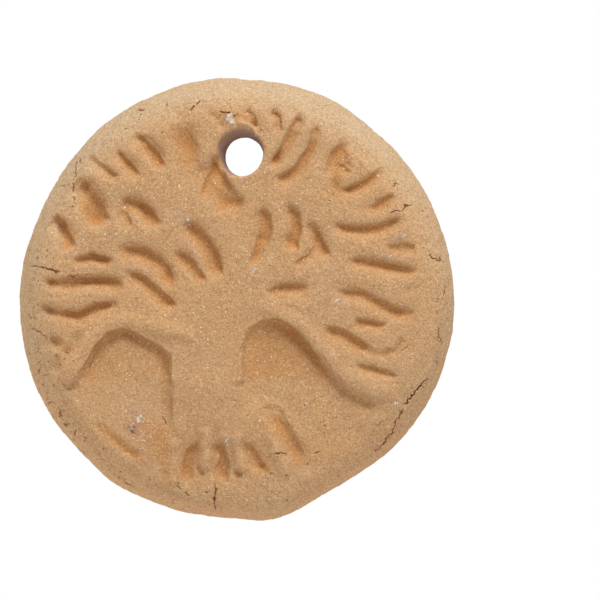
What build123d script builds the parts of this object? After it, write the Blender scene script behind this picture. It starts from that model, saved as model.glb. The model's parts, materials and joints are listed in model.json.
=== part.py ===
from build123d import *
import math
import os

# Clay tree-of-life pendant: a hand-pressed disc of unglazed fired clay whose front carries a
# stamped tree, with a hole near the top to hang it by.
#
# Frame: the origin is on the axis of the hanging hole, half way through the disc.
# +X is to the right of the face, +Z is up along the tree, and the face looks along -Y.
# Sketches of the face use their own two axes, across and up from the middle of the disc.

# ---- driving dimensions, in millimetres ----
thickness = 5.8                 # back face to front face, at the middle
face_y = -thickness / 2         # the level of the front face
disc_centre = (-0.6, -13.0)     # middle of the disc from the hanging hole, across and up

bed_depth = 2.0                 # how far the tree's pieces are bedded into the disc
ground_depth = 1.15             # depth of the two grounds beside the trunk
stamp_centre = (-0.5, 0.0)      # the round stamp that pressed the tree
stamp_radius = 18.1

toe_break_height = -8.0         # below this height the face leans back
toe_lean = 8.0                  # degrees
toe_cut_width = 60              # the block cut away in front of the leaning face
toe_cut_height = 30
toe_cut_depth = 5

bore_radius = 1.85              # hanging hole
mouth_radius = 2.2              # its wider, off-centre mouth in the face
mouth_shift = (-0.35, 0.3)

leaf_floor_width = 0.42         # floor of a leaf-shaped pit, as a share of its mouth
leaf_floor_inset = 0.3          # how far a pit's floor stops short of each tip, as a share
leaf_floor_shift = (0.1, 0.16)  # how far the floor lies to the right of and above the mouth
leaf_shoulder = 0.18            # where a leaf swells near its tip, as a share of that stretch
leaf_shoulder_width = 0.66      # and how wide it is there, as a share of its width

grain_bury = 0.45               # how deep a mineral grain sits in the clay
grain_sides = 6

os.makedirs("parts", exist_ok=True)

# ---- planes ----
face = Plane(
    origin=(disc_centre[0], face_y, disc_centre[1]), x_dir=(1, 0, 0), z_dir=(0, -1, 0)
)
bed = face.offset(-bed_depth)
ground_floor = face.offset(-ground_depth)
toe_break = Plane(
    origin=(disc_centre[0], face_y, disc_centre[1] + toe_break_height),
    x_dir=(1, 0, 0),
    z_dir=(0, -1, 0),
)
toe_face = toe_break.rotated((toe_lean, 0, 0))


# ---- the disc's outline, and how far it draws in from back to front ----
outline = [
    (0, 20.25), (5, 19.55), (9, 18.1), (12, 16.0), (15, 13.05), (17.5, 9.4), (19.2, 5.2),
    (20.0, 0), (19.4, -5), (17.5, -9.8), (15.5, -12.5), (12.2, -15.5), (8, -18.05),
    (4.9, -19.8), (2.8, -20.4), (-1, -20.25), (-5, -19.65), (-8.6, -18.5), (-10.8, -17.4),
    (-13.5, -15.2), (-17, -11.2), (-19.35, -6), (-20.05, 0), (-19.0, 6.1), (-16, 11.85),
    (-12, 16.2), (-8, 18.5), (-4, 19.9),
]
# (depth behind the face, how far in from the widest outline)
edge_profile = [
    (5.8, 0.6), (5.4, 0.15), (4.9, 0.0), (3.3, 0.35), (2.3, 0.8), (1.4, 1.35), (0.6, 2.2),
    (0.0, 4.0),
]


def inset_outline(inset):
    """The outline's points, each moved towards the middle by the inset."""
    moved = []
    for across, up in outline:
        share = 1 - inset / math.hypot(across, up)
        moved.append((across * share, up * share))
    return moved


with BuildPart() as disc_body:
    for depth, inset in edge_profile:
        with BuildSketch(face.offset(-depth)):
            with BuildLine():
                Spline(*inset_outline(inset), periodic=True)
            make_face()
    loft()
    # The lower part of the face leans back, so the disc thins towards its foot.
    with BuildSketch(toe_face):
        with Locations((0, -toe_cut_height / 2)):
            Rectangle(toe_cut_width, toe_cut_height)
    extrude(amount=toe_cut_depth, mode=Mode.SUBTRACT)


# ---- where one piece of the tree meets the next, seen on the face ----
def on_stamp(degrees):
    """A point of the stamp's round edge."""
    angle = math.radians(degrees)
    return (
        stamp_centre[0] + stamp_radius * math.cos(angle),
        stamp_centre[1] + stamp_radius * math.sin(angle),
    )


def stamp_arc(start, end):
    """A stretch of the stamp's round edge, anticlockwise between two angles in degrees."""
    return ThreePointArc(on_stamp(start), on_stamp((start + end) / 2), on_stamp(end))


left_fork = (-6.0, -5.1)        # trunk, left bough and left ground
left_foot = (-6.0, -13.0)       # trunk, roots and left ground
right_fork = (1.2, -2.7)        # trunk, right bough and right ground
right_foot = (1.0, -10.0)       # trunk, roots and right ground
left_crotch = (-4.8, -1.9)      # trunk, left bough and left branches
left_top = (-0.9, 1.0)          # trunk, left branches and crown branches
right_top = (0.8, 0.7)          # trunk, crown branches and right branches
right_crotch = (1.7, -0.6)      # trunk, right branches and right bough
left_tip = (-15.1, -7.9)        # lower end of the left bough
right_tip = (14.7, -9.6)        # lower end of the right bough
left_toe = (-7.6, -15.6)        # outer ends of the roots
right_toe = (7.4, -15.2)
left_bough_angle = 206.6        # where each seam runs out to the stamp's edge
crown_left_angle = 110.7
crown_right_angle = 62.7
right_bough_angle = -25.9

trunk_left = Spline(left_fork, (-6.15, -9.0), left_foot)
trunk_right = Spline(right_fork, (0.5, -4.6), (0.4, -6.4), (0.7, -8.3), right_foot)
trunk_foot = Spline(right_foot, (0.3, -11.4), (-1.6, -12.3), (-4.2, -12.3), left_foot)
left_arch = Spline(
    left_fork, (-7.6, -4.0), (-9.4, -2.9), (-10.6, -2.6), (-11.8, -2.95), (-13.0, -4.2),
    (-13.8, -5.8), left_tip,
)
left_bough_end = Spline(left_tip, (-15.9, -8.3), on_stamp(left_bough_angle))
left_bough_top = Spline(
    on_stamp(left_bough_angle), (-15.8, -6.0), (-14.6, -3.6), (-13.0, -2.2), (-10.6, -1.5),
    (-7.4, -1.6), left_crotch,
)
left_joint = Line(left_crotch, left_fork)
left_shoulder = Spline(left_crotch, (-3.4, -0.4), left_top)
crown_base = Line(left_top, right_top)
right_shoulder = Line(right_top, right_crotch)
right_joint = Line(right_crotch, right_fork)
right_arch = Spline(
    right_fork, (2.2, -2.0), (3.5, -1.75), (4.6, -2.2), (5.8, -3.3), (7.2, -5.1),
    (8.6, -7.0), (10.2, -8.4), (12.0, -9.25), right_tip,
)
right_bough_end = Line(right_tip, on_stamp(right_bough_angle))
right_bough_top = Spline(
    on_stamp(right_bough_angle), (13.6, -8.1), (11.8, -7.5), (10.2, -6.4), (8.8, -4.8),
    (7.3, -2.8), (6.2, -1.2), (4.2, -0.5), right_crotch,
)
crown_left = Spline(
    left_top, (-0.8, 3.5), (-1.6, 6.0), (-3.0, 7.9), (-4.6, 9.2), (-5.5, 11.0),
    (-6.5, 13.6), on_stamp(crown_left_angle),
)
crown_right = Spline(
    right_top, (0.7, 3.0), (0.9, 5.0), (1.2, 7.2), (1.9, 9.1), (3.6, 9.5), (5.4, 10.0),
    (6.95, 11.8), (7.8, 13.6), on_stamp(crown_right_angle),
)
left_rim = stamp_arc(crown_left_angle, left_bough_angle)
crown_rim = stamp_arc(crown_right_angle, crown_left_angle)
right_rim = stamp_arc(right_bough_angle, crown_right_angle)
root_left = Spline(left_foot, (-6.5, -14.2), left_toe)
root_right = Spline(right_foot, (2.7, -9.9), (4.2, -10.7), (5.6, -12.4), right_toe)
root_end = Spline(
    left_toe, (-7.4, -16.9), (-5.0, -17.9), (-1.6, -18.0), (3.0, -17.6), (6.3, -16.7), right_toe
)
left_ground_edge = Spline(left_tip, (-14.4, -9.7), (-12.6, -11.7), (-10.4, -13.7), left_toe)
right_ground_edge = Spline(right_tip, (13.4, -11.0), (11.6, -12.7), (9.6, -14.1), right_toe)

piece_outlines = {
    "trunk": [
        trunk_left, trunk_foot, trunk_right, right_joint, right_shoulder, crown_base,
        left_shoulder, left_joint,
    ],
    "left_bough": [left_arch, left_bough_end, left_bough_top, left_joint],
    "right_bough": [right_arch, right_bough_end, right_bough_top, right_joint],
    "left_branches": [left_bough_top, left_shoulder, crown_left, left_rim],
    "crown_branches": [crown_base, crown_right, crown_rim, crown_left],
    "right_branches": [right_bough_top, right_rim, crown_right, right_shoulder],
    "roots": [trunk_foot, root_left, root_end, root_right],
}
ground_outlines = [
    [left_arch, trunk_left, root_left, left_ground_edge],
    [right_arch, trunk_right, root_right, right_ground_edge],
]


def seamed_face(plane, seams):
    """A flat face on the plane, bounded by seams that meet end to end."""
    with BuildSketch(plane) as made:
        with BuildLine():
            for seam in seams:
                add(seam)
        make_face()
    return made.sketch.face()


# ---- the pits pressed between the branches and the roots ----
# Each leaf-shaped pit is (points along its middle, width, depth).
left_pits = [
    ([(-9.1, 15.0), (-7.7, 13.4), (-6.5, 11.9)], 1.5, 0.8),
    ([(-11.0, 13.4), (-10.0, 12.3), (-8.9, 11.1)], 1.2, 0.75),
    ([(-13.0, 12.8), (-12.0, 11.7), (-10.8, 10.9)], 0.75, 0.6),
    ([(-14.3, 11.1), (-13.2, 9.1), (-11.9, 7.1)], 2.1, 0.95),
    ([(-10.8, 9.2), (-8.9, 8.4), (-6.9, 6.8)], 1.25, 0.85),
    ([(-10.9, 8.2), (-10.2, 7.5), (-9.6, 6.4)], 1.0, 0.55),
    ([(-16.7, 7.5), (-15.9, 6.3), (-14.9, 4.9)], 1.55, 1.1),
    ([(-14.9, 3.3), (-13.1, 3.65), (-11.4, 3.3)], 0.95, 0.8),
    ([(-18.2, 1.5), (-14.8, 1.2), (-12.0, 1.5), (-10.3, 0.8)], 1.25, 1.0),
    ([(-18.3, -0.9), (-16.5, -1.25), (-14.7, -1.6), (-13.0, -1.0), (-10.8, -0.5)], 1.0, 0.95),
    ([(-17.3, -3.7), (-16.5, -4.0), (-15.6, -4.2)], 1.0, 0.9),
    ([(-10.9, 4.9), (-8.8, 4.2), (-7.2, 3.3), (-6.3, 2.2), (-5.9, 0.9)], 1.3, 0.8),
    ([(-10.0, 2.4), (-8.4, 1.5), (-7.3, 0.2), (-5.4, -0.9)], 1.0, 0.75),
    ([(-4.9, 7.1), (-3.4, 5.6), (-2.2, 3.7), (-1.5, 1.5)], 1.45, 0.85),
    ([(-5.6, 4.3), (-4.3, 3.1), (-2.9, 1.2)], 1.15, 0.75),
]
crown_pits = [
    ([(-2.8, 17.0), (-1.9, 16.1), (-1.1, 15.4)], 0.75, 0.6),
    ([(0.5, 17.2), (1.25, 16.4), (1.75, 15.3)], 0.85, 0.9),
    ([(3.0, 17.3), (3.5, 16.4), (3.9, 15.2)], 1.1, 0.7),
    ([(5.9, 16.7), (5.0, 14.9), (4.1, 13.2), (3.1, 12.0)], 1.2, 0.8),
    ([(7.3, 15.8), (6.85, 14.2), (6.0, 12.4), (4.9, 11.1), (3.4, 10.4)], 1.1, 0.8),
]
right_pits = [
    ([(9.9, 14.1), (8.9, 12.9), (8.1, 10.9)], 1.3, 0.7),
    ([(9.1, 12.1), (9.8, 11.9), (10.6, 11.6)], 0.55, 0.5),
    ([(8.5, 11.0), (8.9, 10.0), (9.5, 9.1)], 0.95, 0.7),
    ([(9.0, 9.4), (10.9, 10.0), (13.0, 11.5)], 1.15, 0.8),
    ([(14.3, 9.4), (13.0, 8.5), (11.6, 7.6)], 1.1, 0.75),
    ([(8.6, 6.5), (10.6, 6.1), (12.6, 6.2), (15.0, 7.2)], 1.15, 0.85),
    ([(13.5, 4.6), (14.9, 4.6), (16.4, 4.4)], 0.95, 0.7),
    ([(9.9, 3.4), (12.5, 3.1), (14.7, 2.6), (16.4, 2.3)], 1.15, 0.85),
    ([(14.7, 0.6), (15.6, 0.75), (16.7, 1.1)], 0.5, 0.5),
    ([(8.9, 0.5), (11.3, 0.3), (12.8, -0.6), (14.3, -1.3), (16.2, -1.4)], 1.15, 0.8),
    ([(10.5, -2.2), (12.0, -2.3), (13.4, -2.6)], 0.85, 0.65),
    ([(7.9, -2.8), (9.4, -3.3), (10.8, -4.2), (12.2, -4.9)], 1.0, 0.75),
    ([(12.6, -5.1), (14.1, -4.9), (15.2, -4.1)], 0.45, 0.35),
    ([(10.9, -6.1), (12.3, -6.45), (13.6, -7.0), (14.9, -7.1)], 0.75, 0.6),
    ([(2.3, 8.4), (2.55, 6.6), (2.1, 4.8), (1.3, 2.9)], 1.45, 0.7),
    ([(4.6, 8.7), (5.25, 7.2), (5.2, 5.6), (4.7, 4.0)], 1.45, 0.8),
    ([(7.0, 6.8), (7.4, 5.1), (8.5, 3.4)], 1.2, 0.8),
    ([(7.1, 4.9), (6.4, 3.8), (5.0, 3.0)], 0.95, 0.6),
    ([(2.6, 0.9), (4.5, 0.8), (6.6, 1.1)], 1.3, 0.75),
]
# Two broad hollows in the crown, each deepest along its right side.
crown_hollows = [
    ([(-5.1, 16.3), (-4.9, 13.7), (-4.4, 11.0)], 2.3, 0.5),
    ([(-2.2, 13.1), (-2.2, 11.0), (-1.2, 9.0), (0.2, 7.6)], 2.6, 0.75),
]
hollow_floor_shift = (0.2, 0.14)
# The roots' pits are pressed into the leaning part of the face, and placed on its plane.
root_pits = [
    ([(3.0, -2.4), (4.3, -4.2), (6.1, -7.0)], 1.2, 0.5),
    ([(0.9, -5.0), (1.4, -6.4), (2.4, -7.9)], 1.1, 0.6),
    ([(-1.6, -4.9), (-1.5, -6.9), (-1.7, -9.1)], 1.75, 0.65),
    ([(-3.5, -4.9), (-4.5, -6.5), (-4.6, -9.3)], 1.15, 0.6),
    ([(-3.9, -7.8), (-3.35, -7.9), (-2.8, -7.9)], 0.75, 0.45),
    ([(-0.45, -8.0), (0.05, -8.2), (0.6, -8.1)], 0.65, 0.5),
    ([(-7.1, -8.1), (-6.5, -8.25), (-5.9, -8.3)], 0.8, 0.35),
]


def between(start, end, share):
    """The point that lies that share of the way from start to end."""
    return (
        start[0] + (end[0] - start[0]) * share,
        start[1] + (end[1] - start[1]) * share,
    )


def leaf_outline(points, half_width):
    """The two long sides of a leaf that follows the points and is blunt at both ends."""
    first_shoulder = between(points[0], points[1], leaf_shoulder)
    last_shoulder = between(points[-1], points[-2], leaf_shoulder)
    line = [points[0], first_shoulder, *points[1:-1], last_shoulder, points[-1]]
    half_widths = [half_width] * len(line)
    half_widths[1] = half_width * leaf_shoulder_width
    half_widths[-2] = half_width * leaf_shoulder_width
    left_side = [points[0]]
    right_side = [points[0]]
    for before, here, after, reach in zip(line, line[1:], line[2:], half_widths[1:]):
        run = Vector(*after) - Vector(*before)
        square = Vector(-run.Y, run.X).normalized() * reach
        left_side.append((here[0] + square.X, here[1] + square.Y))
        right_side.append((here[0] - square.X, here[1] - square.Y))
    left_side.append(points[-1])
    right_side.append(points[-1])
    return left_side, right_side


def leaf_face(plane, points, width):
    """A flat leaf on the plane."""
    left_side, right_side = leaf_outline(points, width / 2)
    with BuildSketch(plane) as leaf:
        with BuildLine():
            Spline(*left_side)
            Spline(*right_side)
        make_face()
    return leaf.sketch.face()


def floor_line(points, width, shift):
    """The line of a pit's floor: shorter than its mouth's, and moved to one side of it."""
    ends = [
        between(points[0], points[1], leaf_floor_inset),
        between(points[-1], points[-2], leaf_floor_inset),
    ]
    return [
        (across + shift[0] * width, up + shift[1] * width)
        for across, up in [ends[0], *points[1:-1], ends[1]]
    ]


def press_leaves(plane, pits, shift=leaf_floor_shift):
    """Cuts the pits into the part being built, each wide at the face and narrow at its floor."""
    for points, width, depth in pits:
        mouth = leaf_face(plane, points, width)
        floor = leaf_face(
            plane.offset(-depth), floor_line(points, width, shift), width * leaf_floor_width
        )
        loft([mouth, floor], mode=Mode.SUBTRACT)


def drill_hanging_hole():
    """Cuts the bore and its wider, off-centre mouth from the part being built."""
    bore_place = (-disc_centre[0], -disc_centre[1])
    with BuildSketch(bed) as narrow:
        with Locations(bore_place):
            Circle(bore_radius)
    with BuildSketch(face) as wide:
        with Locations((bore_place[0] + mouth_shift[0], bore_place[1] + mouth_shift[1])):
            Circle(mouth_radius)
    loft([wide.sketch.face(), narrow.sketch.face()], mode=Mode.SUBTRACT)
    extrude(narrow.sketch, amount=-thickness, mode=Mode.SUBTRACT)


# ---- mineral grains that show in the clay: (place on the face, size, turn in degrees) ----
pale_grain_places = {
    "left_branches": [((-4.75, 7.75), 0.26, 10)],
    "crown_branches": [((-0.75, 16.9), 0.34, 25)],
    "right_branches": [((9.0, -0.45), 0.24, 40), ((1.5, 2.35), 0.2, 0)],
}
dark_grain_places = [((-9.7, -12.0), 0.3, 15), ((-11.6, -9.1), 0.16, 50)]


def grain(plane, place, radius, turn):
    """One small faceted grain, let into the surface that lies on the plane."""
    with BuildPart() as made:
        with BuildSketch(plane):
            with Locations(place):
                RegularPolygon(radius, grain_sides, rotation=turn)
        extrude(amount=-grain_bury)
    return made.part


pale_grains = {
    host: [grain(face, *one) for one in places] for host, places in pale_grain_places.items()
}
dark_grains = [grain(ground_floor, *one) for one in dark_grain_places]


def socket(grains):
    """Cuts a seat for each grain from the part being built."""
    for one in grains:
        add(one, mode=Mode.SUBTRACT)


# ---- the tree's pieces ----
def tree_piece(name, pits=(), pit_plane=face, hollows=(), drilled=False):
    """The part of the disc in front of the bed, inside the piece's outline, with its pits."""
    with BuildPart() as piece:
        extrude(seamed_face(bed, piece_outlines[name]), amount=bed_depth)
        add(disc_body.part, mode=Mode.INTERSECT)
        press_leaves(pit_plane, pits)
        press_leaves(face, hollows, hollow_floor_shift)
        if drilled:
            drill_hanging_hole()
        socket(pale_grains.get(name, []))
    piece.part.label = name
    export_step(piece.part, f"parts/{name}.step")
    return piece.part


tree_piece("trunk")
tree_piece("left_bough")
tree_piece("right_bough")
tree_piece("left_branches", left_pits)
tree_piece("crown_branches", crown_pits, hollows=crown_hollows, drilled=True)
tree_piece("right_branches", right_pits)
tree_piece("roots", root_pits, toe_face)

# ---- the disc that carries them: rim, edge, back and the two grounds ----
with BuildPart() as clay_disc:
    add(disc_body.part)
    for seams in piece_outlines.values():
        extrude(seamed_face(bed, seams), amount=bed_depth, mode=Mode.SUBTRACT)
    for seams in ground_outlines:
        extrude(seamed_face(ground_floor, seams), amount=ground_depth, mode=Mode.SUBTRACT)
    drill_hanging_hole()
    socket(dark_grains)
clay_disc.part.label = "clay_disc"
export_step(clay_disc.part, "parts/clay_disc.step")

# ---- the grains ----
pale_group = Compound(
    label="pale_grains", children=[one for grains in pale_grains.values() for one in grains]
)
export_step(pale_group, "parts/pale_grains.step")
dark_group = Compound(label="dark_grains", children=dark_grains)
export_step(dark_group, "parts/dark_grains.step")
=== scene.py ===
import json
import math

import bmesh
import bpy
import numpy as np
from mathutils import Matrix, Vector


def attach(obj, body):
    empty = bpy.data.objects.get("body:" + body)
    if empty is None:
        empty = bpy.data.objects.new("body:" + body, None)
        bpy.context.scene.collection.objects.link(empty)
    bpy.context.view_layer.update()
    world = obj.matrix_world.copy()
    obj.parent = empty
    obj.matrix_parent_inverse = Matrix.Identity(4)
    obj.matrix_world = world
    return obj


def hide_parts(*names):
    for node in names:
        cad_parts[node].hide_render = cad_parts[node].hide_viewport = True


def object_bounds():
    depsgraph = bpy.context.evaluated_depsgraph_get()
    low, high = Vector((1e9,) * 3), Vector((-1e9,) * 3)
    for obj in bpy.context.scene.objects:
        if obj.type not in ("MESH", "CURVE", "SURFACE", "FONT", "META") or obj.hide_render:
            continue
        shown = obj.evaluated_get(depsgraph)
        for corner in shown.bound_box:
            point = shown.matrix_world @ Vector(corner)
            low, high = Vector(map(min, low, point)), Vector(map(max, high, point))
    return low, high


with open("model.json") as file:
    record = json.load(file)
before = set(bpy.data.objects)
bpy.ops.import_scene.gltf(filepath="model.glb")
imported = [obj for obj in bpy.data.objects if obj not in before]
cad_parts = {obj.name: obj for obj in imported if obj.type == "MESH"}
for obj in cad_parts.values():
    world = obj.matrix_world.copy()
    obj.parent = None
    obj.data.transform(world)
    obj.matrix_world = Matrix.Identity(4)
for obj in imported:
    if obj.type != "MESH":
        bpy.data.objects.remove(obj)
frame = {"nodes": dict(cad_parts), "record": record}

cad_low, cad_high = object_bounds()

# Clay tree-of-life pendant. The clay is sculpted in millimetres in the CAD frame: the CAD
# solids are joined and remeshed, worn soft, pitted and cracked, then cut into one piece for
# each CAD node. Places on the face are (across, up) from the middle of the disc.
MM = 0.001
TREE_NODES = [
    "left_branches", "right_branches", "crown_branches", "trunk", "roots", "left_bough",
    "right_bough",
]
FINE_VOXEL = 0.1
VOXEL = FINE_VOXEL

mounts = {mount["name"]: mount for mount in frame["record"]["mounts"]}
DISC_CENTRE = np.array(mounts["back_face"]["pos_m"]) / MM
FACE_LEVEL = cad_low[1] / MM
THICKNESS = (cad_high[1] - cad_low[1]) / MM
HOLE_PLACE = -DISC_CENTRE[[0, 2]]
FRONT_LEVEL = -0.35  # clay in front of this level belongs to the face
RELIEF_DEPTH = 1.2
EDGE_RADIUS = 20
# The edge is further out than this, with normals that point less forward than this.
EDGE_START = 17.6
EDGE_LEAN = 0.6
LEFTWARD = -0.35  # a normal's sideways part on the left edge

# Distances from the middle of the disc over which something comes in.
RIM_ZONE = (16.5, 19.0)
# where the painted light and shade on the rim's upper and lower sides come in
PAINTED_SKY_LIGHT_ZONE = (15.8, 18.0)
PIT_ZONE = (17.2, 16.2)
PRESSED_ZONE = (17.4, 16.4)
CAVITY_ZONE = (18.4, 17.6)
# The same from the middle of the hole, for the face's own shape and for the pits.
HOLE_COLLAR = (2.4, 3.6)
HOLE_CLEAR = (2.8, 3.8)
HOLE_TINT_REACH = 2.6
HOLE_LEAN = 0.12  # how far the hole's wall leans from back to front


# ---- camera ----
def make_camera():
    """A long lens, square to the face, with the disc left of the middle of the picture."""
    data = bpy.data.cameras.new("camera")
    data.lens = 200
    data.sensor_width = 36
    camera = new_object("camera", data)
    bpy.context.scene.camera = camera
    frame_width = 0.055
    distance = frame_width * data.lens / data.sensor_width
    camera.location = (DISC_CENTRE[0] * MM, -distance, DISC_CENTRE[2] * MM)
    camera.rotation_euler = (math.pi / 2, 0, 0)
    data.shift_x = 0.104
    data.shift_y = -0.0025
    data.clip_start = 0.01
    data.clip_end = 50


# ---- mesh helpers ----
def new_object(name, data):
    obj = bpy.data.objects.new(name, data)
    bpy.context.scene.collection.objects.link(obj)
    return obj


def rows_of(items, name, width, kind=np.float32):
    values = np.empty(len(items) * width, kind)
    items.foreach_get(name, values)
    return values.reshape(-1, width)


def points_of(mesh):
    return rows_of(mesh.vertices, "co", 3).astype(float)


def set_points(mesh, points):
    mesh.vertices.foreach_set("co", points.astype(np.float32).ravel())
    mesh.update()


def normals_of(mesh):
    return rows_of(mesh.vertex_normals, "vector", 3).astype(float)


def edges_of(mesh):
    return rows_of(mesh.edges, "vertices", 2, np.int32)


def apply_modifiers(obj):
    graph = bpy.context.evaluated_depsgraph_get()
    done = bpy.data.meshes.new_from_object(obj.evaluated_get(graph))
    old = obj.data
    obj.modifiers.clear()
    obj.data = done
    bpy.data.meshes.remove(old)


def store(mesh, name, values):
    """Keeps one number for each vertex, for the material to read."""
    attribute = mesh.attributes.new(name, "FLOAT", "POINT")
    attribute.data.foreach_set("value", values.astype(np.float32))


def ramp(values, start, end):
    """Rises from 0 at the start to 1 at the end, which may be the lower of the two."""
    return np.clip((values - start) / (end - start), 0, 1)


def fitted(rounds):
    """The rounds that smooth as far on this mesh as the given ones on the fine mesh."""
    return int(rounds * (FINE_VOXEL / VOXEL) ** 2)


def smooth(points, edges, rounds, strength=0.5):
    """Moves each point towards the mean of its neighbours; strength may differ by point."""
    count = len(points)
    degree = np.maximum(np.bincount(edges.ravel(), minlength=count), 1)
    points = points.copy()
    strength = np.broadcast_to(strength, count)
    for _ in range(rounds):
        for axis in range(points.shape[1]):
            total = np.bincount(edges[:, 0], points[edges[:, 1], axis], count)
            total += np.bincount(edges[:, 1], points[edges[:, 0], axis], count)
            points[:, axis] += strength * (total / degree - points[:, axis])
    return points


NOISE_VALUES = 4096  # a power of two
NOISE_PRIMES = (73856093, 19349663, 83492791)


def lattice_noise(points, size, seed):
    """Smooth random values between -1 and 1 whose bumps are about the given size."""
    table = np.random.default_rng(seed).uniform(-1, 1, NOISE_VALUES)
    cell = points / size
    base = np.floor(cell).astype(np.int64)
    part = cell - base
    part = part * part * (3 - 2 * part)
    total = np.zeros(len(points))
    for corner in np.ndindex(*[2] * points.shape[1]):
        key = np.zeros(len(points), np.int64)
        weight = np.ones(len(points))
        for axis, step in enumerate(corner):
            key ^= (base[:, axis] + step) * NOISE_PRIMES[axis]
            weight *= part[:, axis] if step else 1 - part[:, axis]
        total += table[key & (NOISE_VALUES - 1)] * weight
    return total


def line_distance(places, line):
    """How far each place is from the line, where along it, and on its left (1) or right (-1)."""
    corners = np.array(line, float)
    lengths = np.hypot(*np.diff(corners, axis=0).T)
    nearest = np.full(len(places), np.inf)
    along = np.zeros(len(places))
    side = np.ones(len(places))
    done = 0.0
    for start, end, length in zip(corners, corners[1:], lengths):
        run = end - start
        away = places - start
        share = np.clip(away @ run / length**2, 0, 1)
        gap = np.hypot(*(away - share[:, None] * run).T)
        closer = gap < nearest
        nearest[closer] = gap[closer]
        along[closer] = (done + share[closer] * length) / lengths.sum()
        side[closer] = np.sign(run[0] * away[closer, 1] - run[1] * away[closer, 0])
        done += length
    return nearest, along, side


def near_line(places, line, reach):
    """The indices of the places inside the line's bounding box widened by the reach."""
    corners = np.array(line, float)
    low = corners.min(axis=0) - reach
    high = corners.max(axis=0) + reach
    return np.flatnonzero(np.all((places > low) & (places < high), axis=1))


# ---- the outlines of the two sunken grounds, and where the clay is worn soft ----
LEFT_ARCH = [
    (-15.1, -7.9), (-13.8, -5.8), (-13, -4.2), (-11.8, -2.95), (-10.6, -2.6), (-9.4, -2.9),
    (-7.6, -4), (-6, -5.1),
]
LEFT_TRUNK_EDGE = [(-6, -5.1), (-6.15, -9), (-6, -13), (-7.6, -15.6)]
LEFT_STAMP_EDGE = [(-7.6, -15.6), (-10.4, -13.7), (-12.6, -11.7), (-14.4, -9.7), (-15.1, -7.9)]
RIGHT_ARCH = [
    (14.7, -9.6), (12, -9.25), (10.2, -8.4), (8.6, -7), (7.2, -5.1), (5.8, -3.3),
    (4.6, -2.2), (3.5, -1.75), (2.2, -2), (1.2, -2.7),
]
RIGHT_TRUNK_EDGE = [(1.2, -2.7), (0.5, -4.6), (0.4, -6.4), (0.7, -8.3), (1, -10)]
RIGHT_ROOT_EDGE = [(1, -10), (2.7, -9.9), (4.2, -10.7), (5.6, -12.4), (7.4, -15.2)]
RIGHT_STAMP_EDGE = [(7.4, -15.2), (9.6, -14.1), (11.6, -12.7), (13.4, -11), (14.7, -9.6)]
GROUNDS = [
    LEFT_ARCH + LEFT_TRUNK_EDGE + LEFT_STAMP_EDGE,
    RIGHT_ARCH + RIGHT_TRUNK_EDGE + RIGHT_ROOT_EDGE + RIGHT_STAMP_EDGE,
]
GROUND_KEEP = (0.62, 0.85)  # how much of the grounds' own depth is kept
TOE_TOP = -8.0
TOE_BREAK = [(-19, TOE_TOP), (19, TOE_TOP)]
LOWER_RIM = [
    (-18.6, -3), (-17.6, -7.5), (-15.2, -11.2), (-11.5, -15), (-6, -18), (0, -18.9),
    (6, -17.6), (11.5, -14.6), (16, -9.6),
]
# (line, reach, rounds of smoothing)
SOFT_EDGES = [
    (LEFT_ARCH, 1.2, 14),
    (LEFT_TRUNK_EDGE, 1.2, 20),
    ([(-7.2, -4.3), (-6, -5.1), (-6.05, -6.6)], 1.2, 60),
    (LEFT_STAMP_EDGE, 2, 260),
    (RIGHT_ARCH, 1.8, 28),
    (RIGHT_TRUNK_EDGE, 2.4, 400),
    (RIGHT_ROOT_EDGE, 1.8, 200),
    (RIGHT_STAMP_EDGE, 2.4, 400),
    (TOE_BREAK, 1.6, 60),
    ([(-4.6, -14.6), (-1.5, -14.8), (2.6, -14.4)], 2.6, 190),
    (LOWER_RIM, 1.6, 120),
]

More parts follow.
